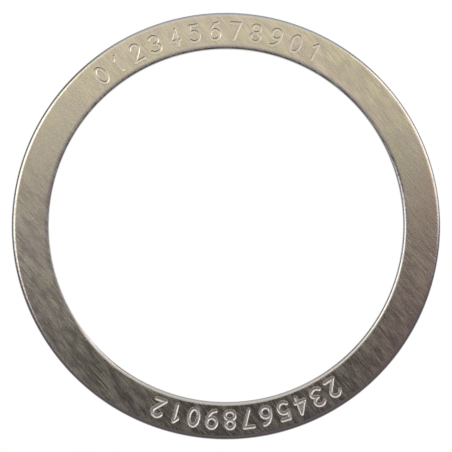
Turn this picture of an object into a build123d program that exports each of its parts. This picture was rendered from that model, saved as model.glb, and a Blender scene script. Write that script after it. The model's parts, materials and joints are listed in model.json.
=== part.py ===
from build123d import *

import os

# Flat shim ring for a 28.6 mm tube, blanked from sheet steel and tumbled.
# Millimetres.  The origin is the centre of the underside, and +Z runs up the bore axis.

# Fit on the tube
tube_diameter = 28.6
bore_clearance = 0.1  # on the diameter, so that the ring drops over the tube by hand

# Blank
ring_width = 3.0  # from the bore wall out to the rim
thickness = 0.5

# A compound die cuts the bore and the rim from the same side, so the sheet rolls down into
# both cuts on the upper face.  On the lower face tumbling only takes the burr off.
roll_radius = 0.36
burr_break = 0.06


def ring_section():
    """The ring's section in the XZ plane, from the bore wall out to the rim."""
    bore_radius = (tube_diameter + bore_clearance) / 2
    with BuildSketch(Plane.XZ) as section:
        with Locations((bore_radius, 0)):
            Rectangle(ring_width, thickness, align=(Align.MIN, Align.MIN))
        # A sketch sorts in its own plane, so up the section is its Y.
        chamfer(section.vertices().sort_by(Axis.Y)[:2], burr_break)
        fillet(section.vertices().sort_by(Axis.Y)[-2:], roll_radius)
    return section.sketch


def shim_ring():
    """One solid, turned about the bore axis."""
    return revolve(ring_section(), axis=Axis.Z)


os.makedirs("parts", exist_ok=True)
export_step(shim_ring(), "parts/shim_ring.step")
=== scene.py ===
import json
import math
import bpy
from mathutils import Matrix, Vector, kdtree


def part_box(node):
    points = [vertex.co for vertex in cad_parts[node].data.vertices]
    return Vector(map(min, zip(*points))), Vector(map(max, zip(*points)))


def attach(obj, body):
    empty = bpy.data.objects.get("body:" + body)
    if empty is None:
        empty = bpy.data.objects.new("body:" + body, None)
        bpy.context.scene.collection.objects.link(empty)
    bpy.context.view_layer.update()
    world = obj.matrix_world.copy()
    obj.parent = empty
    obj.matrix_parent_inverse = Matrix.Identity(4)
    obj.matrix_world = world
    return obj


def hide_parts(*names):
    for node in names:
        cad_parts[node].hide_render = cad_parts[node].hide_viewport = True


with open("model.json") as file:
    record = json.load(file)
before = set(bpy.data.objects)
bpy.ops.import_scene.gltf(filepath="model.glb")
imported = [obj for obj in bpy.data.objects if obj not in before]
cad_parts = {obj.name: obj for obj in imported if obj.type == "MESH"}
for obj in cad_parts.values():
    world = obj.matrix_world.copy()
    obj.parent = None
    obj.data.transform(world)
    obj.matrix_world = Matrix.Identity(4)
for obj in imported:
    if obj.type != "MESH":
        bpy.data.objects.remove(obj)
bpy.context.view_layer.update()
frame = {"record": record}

scene = bpy.context.scene
mm = 0.001
near = 1e-6   # metres, slack when a pick goes by place
flush = 1e-7  # and when it wants a flat face only

low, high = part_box("shim_ring")
boreMount = [m for m in frame["record"]["mounts"] if m["name"] == "bore"][0]
boreRadius = boreMount["dims"]["r_mm"] * mm
rimRadius = high[0]
thickness = high[2] - low[2]


def onlySelect(obj):
    if bpy.context.object and bpy.context.object.mode != "OBJECT":
        bpy.ops.object.mode_set(mode="OBJECT")
    bpy.ops.object.select_all(action="DESELECT")
    obj.select_set(True)
    bpy.context.view_layer.objects.active = obj


def pickVerts(obj, test):
    # object mode picks by place, then edit mode has just those selected
    bpy.ops.object.mode_set(mode="EDIT")
    bpy.ops.mesh.select_mode(type="VERT")
    bpy.ops.mesh.select_all(action="DESELECT")
    bpy.ops.object.mode_set(mode="OBJECT")
    for v in obj.data.vertices:
        v.select = bool(test(v.co))
    bpy.ops.object.mode_set(mode="EDIT")


def pickFaces(obj, test):
    bpy.ops.object.mode_set(mode="EDIT")
    bpy.ops.mesh.select_mode(type="FACE")
    bpy.ops.mesh.select_all(action="DESELECT")
    bpy.ops.object.mode_set(mode="OBJECT")
    for f in obj.data.polygons:
        f.select = bool(test(f))
    bpy.ops.object.mode_set(mode="EDIT")


ringLook = {
    "roll": 0.36 * mm,         # upper edges, how far in from the cut the roll reaches
    "drop": 0.20 * mm,         # and how far down
    "burrBreak": 0.06 * mm,    # both lower edges
    "rollSteps": 14,
    "turns": 480,              # columns round the ring
    "rows": 14,                # rows across the face
    "guard": 0.03 * mm,        # narrow row beside the roll, so the face shades flat
    "slightAt": -30,           # the punch sat off centre: the bore's roll is slight on this side,
    "slightFor": 88,           # in degrees clockwise from +Y, this far each way,
    "fullFrom": 115,           # and full beyond this
    "slight": 0.19,            # share of the roll that is left there
    "smooth": 35,              # degrees, sharper corners than this stay sharp
}


def makeBlank(look):
    width = rimRadius - boreRadius
    top = high[2]
    bpy.ops.object.select_all(action="DESELECT")
    middle = (boreRadius + width / 2, 0, low[2] + thickness / 2)
    bpy.ops.mesh.primitive_plane_add(size=1, location=middle, rotation=(math.pi / 2, 0, 0))
    ring = bpy.context.object
    ring.name = "ring"
    ring.scale = (width, thickness, 1)
    bpy.ops.object.transform_apply(location=True, rotation=True, scale=True)
    for wall in (boreRadius, rimRadius):
        pickVerts(ring, lambda co: co.z > top - near and abs(co.x - wall) < near)
        bpy.ops.mesh.bevel(offset=look["roll"], segments=look["rollSteps"], profile=0.5,
                           affect="VERTICES")
        reach = look["roll"] + near
        pickVerts(ring, lambda co: co.z > top - reach and abs(co.x - wall) < reach)
        bpy.ops.transform.resize(value=(1, 1, look["drop"] / look["roll"]), center_override=(0, 0, top))
    pickVerts(ring, lambda co: co.z < low[2] + near)
    bpy.ops.mesh.bevel(offset=look["burrBreak"], segments=1, affect="VERTICES")
    bpy.ops.mesh.select_all(action="SELECT")
    bpy.ops.mesh.delete(type="ONLY_FACE")
    for level in (top, low[2]):
        pickVerts(ring, lambda co: abs(co.z - level) < flush)
        bpy.ops.mesh.subdivide(number_cuts=look["rows"])
    bpy.ops.object.mode_set(mode="OBJECT")
    flats = sorted(v.co.x for v in ring.data.vertices if abs(v.co.z - top) < flush)
    for edge, beside in ((flats[0], flats[1]), (flats[-1], flats[-2])):
        pickVerts(ring, lambda co: abs(co.x - beside) < near and abs(co.z - top) < flush)
        sign = 1 if beside > edge else -1
        bpy.ops.transform.translate(value=(edge + sign * look["guard"] - beside, 0, 0))
    bpy.ops.mesh.select_all(action="SELECT")
    bpy.ops.mesh.spin(steps=look["turns"], angle=2 * math.pi, center=(0, 0, 0), axis=(0, 0, 1))
    bpy.ops.mesh.select_all(action="SELECT")
    bpy.ops.mesh.remove_doubles(threshold=near)
    bpy.ops.mesh.normals_make_consistent(inside=False)
    bpy.ops.object.mode_set(mode="OBJECT")
    return ring


def lift(ring, group, amount):
    push = ring.modifiers.new(group, "DISPLACE")
    push.direction = "Z"
    push.vertex_group = group
    push.mid_level = 0
    push.strength = amount
    bpy.ops.object.modifier_apply(modifier=group)


def softStep(t):
    t = min(1, max(0, t))
    return t * t * (3 - 2 * t)


def easeBore(ring, look):
    onlySelect(ring)
    ease = ring.vertex_groups.new(name="ease")
    for v in ring.data.vertices:
        drop = high[2] - v.co.z
        if math.hypot(v.co.x, v.co.y) > boreRadius + look["roll"] or drop > look["drop"] + flush:
            continue
        turn = math.degrees(math.atan2(v.co.x, v.co.y)) - look["slightAt"]
        past = abs(math.remainder(turn, 360)) - look["slightFor"]
        full = softStep(past / (look["fullFrom"] - look["slightFor"]))
        ease.add([v.index], drop / look["drop"] * (1 - look["slight"]) * (1 - full), "REPLACE")
    lift(ring, "ease", look["drop"])
    ring.vertex_groups.clear()


ring = makeBlank(ringLook)
easeBore(ring, ringLook)
print("blank", len(ring.data.polygons), "faces")

stampLook = {
    # plain digits that count round the ring: where each row starts and how far apart they stand,
    # in degrees clockwise from +Y, then half the groove's floor and mouth, and the lip's reach
    "rows": [
        # the last number of each row sets how much roughness and painted highlight its marks get
        {"digits": "012345678901", "first": -39.9, "step": 6.1,
         "halfFloor": 0.06 * mm, "halfMouth": 0.115 * mm, "lip": 0.18 * mm,
         "depth": 0.0095 * mm, "lipHeight": 0.0035 * mm, "crushAndHighlight": 0.35},
        {"digits": "23456789012", "first": 147.0, "step": 5.3,
         "halfFloor": 0.03 * mm, "halfMouth": 0.11 * mm, "lip": 0.18 * mm,
         "depth": 0.022 * mm, "lipHeight": 0.009 * mm, "crushAndHighlight": 1.0},
    ],
    "radius": 15.8 * mm,       # middle of the digits
    "height": 1.36 * mm,       # between stroke middles
    "width": 0.78 * mm,
    "fade": 0.05 * mm,         # the struck look, its roughness and its painted highlight, fades out over this at the lip
    "fine": (0.36 * mm, 0.27 * mm, 0.20 * mm),  # the face is divided again this near a stroke
    "flat": 0.99,              # only faces that look up this squarely are divided
    "skin": 0.03 * mm,         # and only the skin of the face is struck
    "spacing": 0.01 * mm,      # between the points along a stroke
}


def arc(cx, cy, rx, ry, a0, a1, n=14):
    return [(cx + rx * math.cos(math.radians(a0 + (a1 - a0) * i / n)),
             cy + ry * math.sin(math.radians(a0 + (a1 - a0) * i / n))) for i in range(n + 1)]


# single strokes in a box 1 wide and 1 high, middle at 0, 0
glyphs = {
    "0": [arc(0, 0, 0.5, 0.5, 90, 450, 28)],
    "1": [[(-0.3, 0.28), (0.05, 0.5), (0.05, -0.5)]],
    "2": [arc(0, 0.24, 0.48, 0.26, 165, -35) + [(-0.5, -0.5), (0.5, -0.5)]],
    "3": [arc(-0.05, 0.25, 0.5, 0.25, 150, -90) + arc(-0.05, -0.25, 0.55, 0.25, 90, -150)],
    "4": [[(0.25, -0.5), (0.25, 0.5), (-0.5, -0.2), (0.5, -0.2)]],
    "5": [[(0.42, 0.5), (-0.4, 0.5), (-0.45, 0.06)] + arc(-0.05, -0.18, 0.53, 0.32, 120, -140)],
    "6": [arc(0.35, -0.2, 0.85, 0.7, 90, 180) + arc(0, -0.2, 0.5, 0.3, 180, 540, 24)],
    "7": [[(-0.5, 0.5), (0.5, 0.5), (-0.15, -0.5)]],
    "8": [arc(0, 0.26, 0.42, 0.24, -90, 270, 24), arc(0, -0.25, 0.5, 0.25, 90, 450, 24)],
    "9": [arc(-0.35, 0.2, 0.85, 0.7, -90, 0) + arc(0, 0.2, 0.5, 0.3, 0, 360, 24)],
}


def strokePoints(row, look):
    points = []
    for count, digit in enumerate(row["digits"]):
        turn = math.radians(row["first"] + count * row["step"])
        out = Vector((math.sin(turn), math.cos(turn), 0))
        side = Vector((math.cos(turn), -math.sin(turn), 0))
        for line in glyphs[digit]:
            for (x0, y0), (x1, y1) in zip(line, line[1:]):
                a = out * (look["radius"] + y0 * look["height"]) + side * x0 * look["width"]
                b = out * (look["radius"] + y1 * look["height"]) + side * x1 * look["width"]
                n = max(1, int((b - a).length / look["spacing"]))
                points += [a.lerp(b, k / n) for k in range(n + 1)]
    return points


def stampRow(ring, row, look):
    points = strokePoints(row, look)
    tree = kdtree.KDTree(len(points))
    for i, p in enumerate(points):
        tree.insert(p, i)
    tree.balance()

    def reach(co):
        return tree.find((co.x, co.y, 0))[2]

    onlySelect(ring)
    for margin in look["fine"]:
        pickFaces(ring, lambda f: f.normal.z > look["flat"] and reach(f.center) < margin)
        bpy.ops.mesh.subdivide(number_cuts=1)
    bpy.ops.object.mode_set(mode="OBJECT")
    groove = ring.vertex_groups.new(name="groove")
    lip = ring.vertex_groups.new(name="lip")
    marks = []
    for v in ring.data.vertices:
        if v.co.z < high[2] - look["skin"]:
            continue
        d = reach(v.co)
        if d < row["lip"]:
            marks.append((v.index, row["crushAndHighlight"] * min(1, (row["lip"] - d) / look["fade"])))
        if d < row["halfMouth"]:
            deep = softStep((row["halfMouth"] - d) / (row["halfMouth"] - row["halfFloor"]))
            groove.add([v.index], deep, "REPLACE")
        elif d < row["lip"]:
            t = (d - row["halfMouth"]) / (row["lip"] - row["halfMouth"])
            lip.add([v.index], math.sin(math.pi * t) ** 2, "REPLACE")
    lift(ring, "groove", -row["depth"])
    lift(ring, "lip", row["lipHeight"])
    ring.vertex_groups.clear()
    # each mark point keeps a share of the crush roughness and the painted highlight
    for i, amount in marks:
        ring.data.attributes["struckAndHighlight"].data[i].value = amount


# per point share of the marks' roughness and painted highlight
ring.data.attributes.new("struckAndHighlight", "FLOAT", "POINT")
for row in stampLook["rows"]:
    stampRow(ring, row, stampLook)
onlySelect(ring)
bpy.ops.object.shade_smooth_by_angle(angle=math.radians(ringLook["smooth"]))
print("stamped", len(ring.data.polygons), "faces")

steelLook = {
    "colour": (0.61, 0.565, 0.49, 1),
    "tint": (0.59, 0.58, 0.44, 1),        # faint straw patches
    "dull": (0.53, 0.505, 0.42, 1),       # the cloudy streaks
    "roseLightCast": (1.0, 0.90, 0.92, 1),         # painted light: a faint rosy cast of the light on the right side, over the rest
    "roseLightToward": (0.95, -0.31, 0),
    "roseLightSpan": (12.8 * mm, 15.5 * mm),
    "wall": (0.44, 0.43, 0.41, 1),        # painted shade: a darker band low on the rim
    "rimShadeFrom": rimRadius - 0.205 * mm,
    "rimShadeFade": 0.03 * mm,
    "boreRollShade": (0.50, 0.487, 0.465, 1),    # painted shade on the bore's roll: darker and more neutral than the face
    "boreRollShadeTo": boreRadius + 0.42 * mm,   # where the face colour is whole again
    "boreRollShadeFade": 0.12 * mm,
    "struckAndHighlight": (0.67, 0.65, 0.605, 1),     # painted highlight in the marks: lighter and more neutral than the face
    "struckRoughness": 0.38,
    "roughness": (0.17, 0.305),           # between the streaks and in them
    "grainTurn": -50,                     # degrees, the way the sheet was brushed
    # length, width, detail and seed of each pattern, then the share of its range that shows
    "grain": (1.1 * mm, 0.07 * mm, 2, 11),
    "grainSpan": (0.3, 0.7, -0.45, 0.45),
    "streak": (1.3 * mm, 0.36 * mm, 4, 23),
    "streakSpan": (0.32, 0.68),
    "patch": (2.6 * mm, 1.8 * mm, 2, 53),
    "patchSpan": (0.4, 0.6),
    "scratch": (3.5 * mm, 0.09 * mm, 1, 37),
    "scratchSpan": (0.70, 0.80),
    "rough": 0.6,                         # of the patterns themselves
    "height": 0.0035 * mm,
}


def makeSteel(look):
    steel = bpy.data.materials.new("steel")
    steel.use_nodes = True
    nodes, links = steel.node_tree.nodes, steel.node_tree.links
    surface = nodes["Principled BSDF"]
    surface.inputs["Metallic"].default_value = 1
    spot = nodes.new("ShaderNodeTexCoord")

    def stretched(length, width, detail, seed):
        place = nodes.new("ShaderNodeMapping")
        place.vector_type = "TEXTURE"
        place.inputs["Location"].default_value = (seed * mm, 0, 0)
        place.inputs["Rotation"].default_value = (0, 0, math.radians(look["grainTurn"]))
        place.inputs["Scale"].default_value = (length, width, 1 * mm)
        links.new(spot.outputs["Object"], place.inputs["Vector"])
        noise = nodes.new("ShaderNodeTexNoise")
        noise.inputs["Scale"].default_value = 1
        noise.inputs["Detail"].default_value = detail
        noise.inputs["Roughness"].default_value = look["rough"]
        links.new(place.outputs["Vector"], noise.inputs["Vector"])
        return noise.outputs["Fac"]

    def span(value, a, b, c=0, d=1):
        node = nodes.new("ShaderNodeMapRange")
        for name, number in (("From Min", a), ("From Max", b), ("To Min", c), ("To Max", d)):
            node.inputs[name].default_value = number
        links.new(value, node.inputs["Value"])
        return node.outputs["Result"]

    def combine(kind, a, b):
        node = nodes.new("ShaderNodeMath")
        node.operation = kind
        for i, value in enumerate((a, b)):
            if isinstance(value, (int, float)):
                node.inputs[i].default_value = value
            else:
                links.new(value, node.inputs[i])
        return node.outputs["Value"]

    def blend(fac, a, b, kind="MIX"):
        node = nodes.new("ShaderNodeMix")
        node.data_type = "RGBA"
        node.blend_type = kind
        links.new(fac, node.inputs["Factor"])
        for socket, value in ((node.inputs["A"], a), (node.inputs["B"], b)):
            if isinstance(value, tuple):
                socket.default_value = value
            else:
                links.new(value, socket)
        return node.outputs["Result"]

    grain = stretched(*look["grain"])
    streak = stretched(*look["streak"])
    patch = span(stretched(*look["patch"]), *look["patchSpan"])
    scratch = span(stretched(*look["scratch"]), *look["scratchSpan"])

    reach = nodes.new("ShaderNodeVectorMath")
    reach.operation = "LENGTH"
    links.new(spot.outputs["Object"], reach.inputs[0])
    # painted shade low on the outer rim
    rimShade = span(reach.outputs["Value"], look["rimShadeFrom"], look["rimShadeFrom"] + look["rimShadeFade"])
    # painted shade on the bore's roll
    boreRollShade = span(reach.outputs["Value"], look["boreRollShadeTo"], look["boreRollShadeTo"] - look["boreRollShadeFade"])
    struckAndHighlight = nodes.new("ShaderNodeAttribute")
    struckAndHighlight.attribute_name = "struckAndHighlight"

    # painted light: a rosy cast that grows toward the right rim
    toward = nodes.new("ShaderNodeVectorMath")
    toward.operation = "DOT_PRODUCT"
    toward.inputs[1].default_value = look["roseLightToward"]
    links.new(spot.outputs["Object"], toward.inputs[0])
    roseLightCast = span(toward.outputs["Value"], *look["roseLightSpan"])

    dullness = span(streak, *look["streakSpan"])
    fine = span(grain, *look["grainSpan"])
    shade = combine("ADD", dullness, fine)
    colour = blend(patch, look["colour"], look["tint"])
    colour = blend(shade, colour, look["dull"])
    # painted rosy light cast
    colour = blend(roseLightCast, colour, look["roseLightCast"], "MULTIPLY")
    # painted shade low on the rim
    colour = blend(rimShade, colour, look["wall"])
    # painted shade on the bore's roll
    colour = blend(boreRollShade, colour, look["boreRollShade"])
    # painted highlight in the marks
    colour = blend(struckAndHighlight.outputs["Fac"], colour, look["struckAndHighlight"])
    links.new(colour, surface.inputs["Base Color"])
    roughness = span(shade, 0, 1, *look["roughness"])
    crushed = combine("MULTIPLY", struckAndHighlight.outputs["Fac"], look["struckRoughness"])
    links.new(combine("MAXIMUM", roughness, crushed), surface.inputs["Roughness"])

    height = combine("SUBTRACT", grain, scratch)
    bump = nodes.new("ShaderNodeBump")
    bump.inputs["Distance"].default_value = look["height"]
    links.new(height, bump.inputs["Height"])
    links.new(bump.outputs["Normal"], surface.inputs["Normal"])
    return steel


ring.data.materials.clear()
ring.data.materials.append(makeSteel(steelLook))
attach(ring, "root")
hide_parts("shim_ring")
print("steel")

stageLook = {
    "floor": 3,                         # metres across
    "sink": 0.01 * mm,                  # gap under the ring, so the faces don't flicker
    "paper": (0.8, 0.8, 0.8, 1),
    "paperRoughness": 0.9,
    "contact": 0.04 * mm,               # reach of the thin shadow where the ring touches down
    "dim": (0.188, 0.168, 0.205, 1),    # the room round the ring
    "white": (1, 1, 1, 1),              # and what shows behind it
    "lens": 150,
    "sensor": 36,
    "clip": (0.005, 20),
    "frameWidth": 36.60 * mm,           # what the picture takes in at the ring
    "elevation": 84.6,
    "aim": (0.005 * mm, -0.168 * mm),
    "hood": 32 * mm,                    # radius of the dark lens
    "hoodBehind": 1.06,                 # its distance, as a share of the camera's
    "hoodColour": (0.032, 0.027, 0.042, 1),
}

bpy.ops.mesh.primitive_plane_add(size=stageLook["floor"], location=(0, 0, low[2] - stageLook["sink"]))
floor = bpy.context.object
floor.name = "floor"
paper = bpy.data.materials.new("paper")
paper.use_nodes = True
nodes, links = paper.node_tree.nodes, paper.node_tree.links
nodes["Principled BSDF"].inputs["Base Color"].default_value = stageLook["paper"]
nodes["Principled BSDF"].inputs["Roughness"].default_value = stageLook["paperRoughness"]
path = nodes.new("ShaderNodeLightPath")
seen = nodes.new("ShaderNodeMath")
seen.operation = "MAXIMUM"
links.new(path.outputs["Is Camera Ray"], seen.inputs[0])
links.new(path.outputs["Is Glossy Ray"], seen.inputs[1])
contact = nodes.new("ShaderNodeAmbientOcclusion")
contact.inputs["Distance"].default_value = stageLook["contact"]
white = nodes.new("ShaderNodeEmission")
links.new(contact.outputs["AO"], white.inputs["Color"])
mix = nodes.new("ShaderNodeMixShader")
links.new(seen.outputs["Value"], mix.inputs["Fac"])
links.new(nodes["Principled BSDF"].outputs[0], mix.inputs[1])
links.new(white.outputs[0], mix.inputs[2])
links.new(mix.outputs[0], nodes["Material Output"].inputs["Surface"])
floor.data.materials.append(paper)

world = bpy.data.worlds.new("studio")
scene.world = world
world.use_nodes = True
nodes, links = world.node_tree.nodes, world.node_tree.links
path = nodes.new("ShaderNodeLightPath")
room = nodes.new("ShaderNodeMix")
room.data_type = "RGBA"
room.inputs["A"].default_value = stageLook["dim"]
room.inputs["B"].default_value = stageLook["white"]
links.new(path.outputs["Is Camera Ray"], room.inputs["Factor"])
links.new(room.outputs["Result"], nodes["Background"].inputs["Color"])


def softbox(name, place, size, glow, colour, aim=(0, 0, 0), turn=0):
    bpy.ops.object.light_add(type="AREA", location=place)
    lamp = bpy.context.object
    lamp.name = name
    lamp.data.shape = "RECTANGLE"
    lamp.data.size, lamp.data.size_y = size
    lamp.data.energy = glow * math.pi * size[0] * size[1]  # glow 1 looks white in a mirror
    lamp.data.color = colour
    lamp.rotation_euler = (Vector(aim) - Vector(place)).to_track_quat("-Z", "Y").to_euler()
    lamp.rotation_euler.z += math.radians(turn)


softbox("overhead", place=(0.0, 0.104, 0.25), size=(0.36, 0.132), glow=0.86,
        colour=(1.0, 0.91, 0.72), aim=(0, 0.104, 0), turn=-1)
softbox("back", place=(0.0, 0.287, 0.20), size=(0.38, 0.28), glow=0.80, colour=(0.97, 1.0, 1.03))
softbox("left", place=(-0.135, 0.049, 0.192), size=(0.134, 0.129), glow=1.95,
        colour=(0.98, 1.0, 0.98))
softbox("right", place=(0.204, 0.118, 0.184), size=(0.20, 0.16), glow=2.15,
        colour=(1.02, 0.97, 0.96))

camData = bpy.data.cameras.new("camera")
cam = bpy.data.objects.new("camera", camData)
scene.collection.objects.link(cam)
camData.lens = stageLook["lens"]
camData.sensor_width = stageLook["sensor"]
camData.clip_start, camData.clip_end = stageLook["clip"]
away = stageLook["lens"] / stageLook["sensor"] * stageLook["frameWidth"]
up = math.radians(stageLook["elevation"])
target = Vector((*stageLook["aim"], low[2] + thickness / 2))
cam.location = target + Vector((0, -math.cos(up), math.sin(up))) * away
cam.rotation_euler = (math.pi / 2 - up, 0, 0)
scene.camera = cam

bpy.ops.mesh.primitive_circle_add(vertices=64, radius=stageLook["hood"], fill_type="NGON",
                                  location=cam.location * stageLook["hoodBehind"],
                                  rotation=cam.rotation_euler)
hood = bpy.context.object  # the dark lens that the lower half of the ring mirrors
hood.name = "hood"
black = bpy.data.materials.new("black")
black.use_nodes = True
black.node_tree.nodes["Principled BSDF"].inputs["Base Color"].default_value = stageLook["hoodColour"]
hood.data.materials.append(black)
hood.visible_camera = False

scene.view_settings.view_transform = "Standard"
print("stage")
